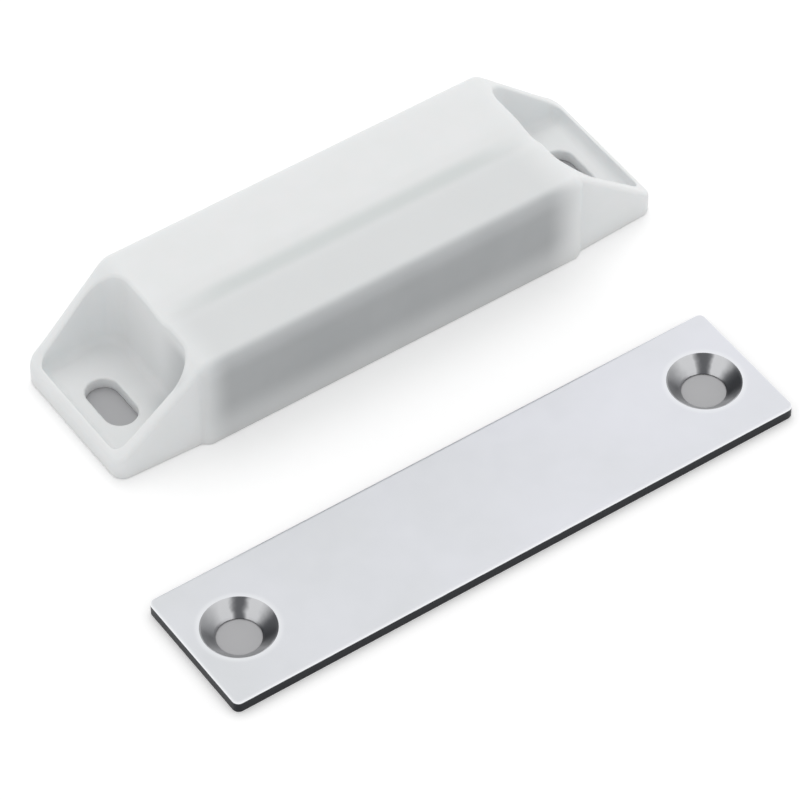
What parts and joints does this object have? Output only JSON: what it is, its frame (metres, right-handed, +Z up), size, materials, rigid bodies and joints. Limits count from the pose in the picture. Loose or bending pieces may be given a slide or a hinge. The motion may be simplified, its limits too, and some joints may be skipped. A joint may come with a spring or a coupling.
{
  "type": "magnetic catch",
  "caption": "Magnetic cabinet catch: a moulded housing with sloping screw wings holds a magnet behind its thin front wall, with its flat steel strike plate for the door.",
  "frame": {"origin": "middle of the housing's flat mounting face, on the rib between its two bays", "axes": "+X along the housing, +Z up away from the mounting face, -Y the pulling face, towards the strike plate"},
  "size_m": [0.0698, 0.0472, 0.0108],
  "materials": {
    "housing_plastic": "translucent natural white moulding, satin",
    "ferrite": "sintered ferrite, dull dark grey",
    "pole_steel": "plain mild steel strip",
    "strike_steel": "bright zinc-plated steel, satin"
  },
  "bodies": {
    "root": {"housing": "housing_plastic", "magnet_block": "ferrite", "upper_pole_plate": "pole_steel", "lower_pole_plate": "pole_steel", "strike_plate": "strike_steel"}
  },
  "joints": []
}
